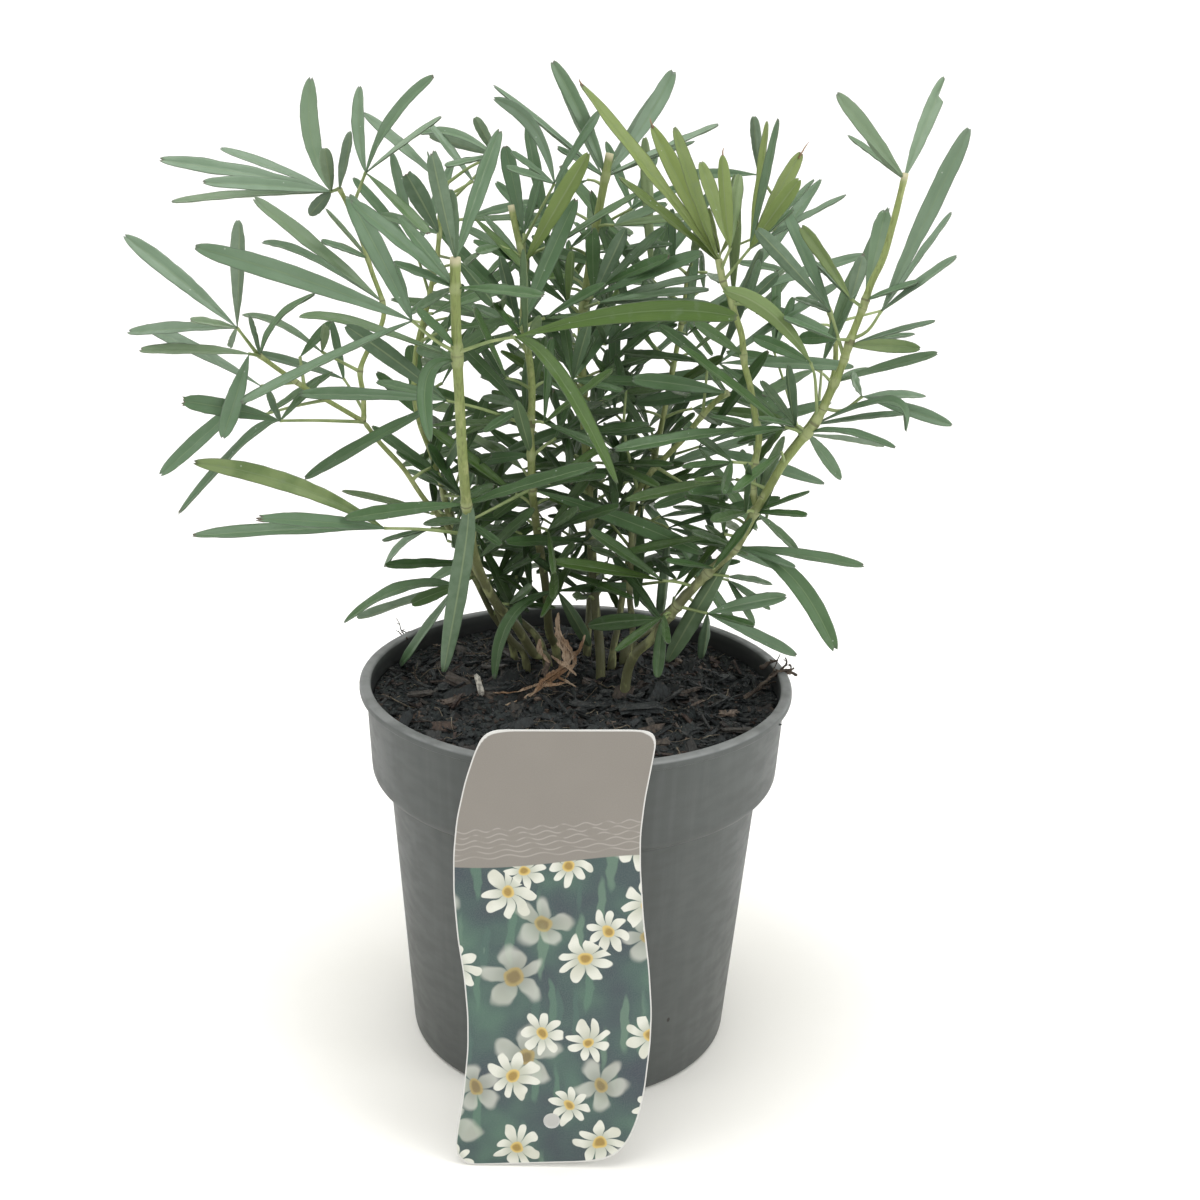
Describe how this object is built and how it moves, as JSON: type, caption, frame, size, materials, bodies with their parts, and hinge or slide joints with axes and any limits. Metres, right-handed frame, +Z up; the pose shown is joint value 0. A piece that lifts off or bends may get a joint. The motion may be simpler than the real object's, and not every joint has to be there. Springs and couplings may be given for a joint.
{
  "type": "potted mexican orange shrub",
  "caption": "Narrow-leaved evergreen shrub of upright leafy stems in a round tapered nursery pot filled with bark compost, with a blank-faced picture label card leaning on the pot.",
  "frame": {"origin": "centre of the pot's flat underside, which is the resting face", "axes": "+Z up along the pot's axis, -Y towards the front where the label card leans, +X to the right seen from the front"},
  "size_m": [0.3182, 0.2145, 0.382],
  "materials": {
    "pot_plastic": "matte dark grey injection-moulded plastic",
    "compost": "dark moist bark and peat compost",
    "foliage": "satin dark green leaflets on yellow-green to olive-brown stems",
    "label_plastic": "printed satin plastic card"
  },
  "bodies": {
    "root": {"pot": "pot_plastic", "compost": "compost", "label_card": "label_plastic", "stem_front_left": "foliage", "stem_left": "foliage", "stem_left_inner": "foliage", "stem_front_mid": "foliage", "stem_centre": "foliage", "stem_right": "foliage", "stem_inner_right": "foliage", "stem_back_left": "foliage", "stem_back_mid": "foliage", "stem_back_right": "foliage"}
  },
  "joints": []
}
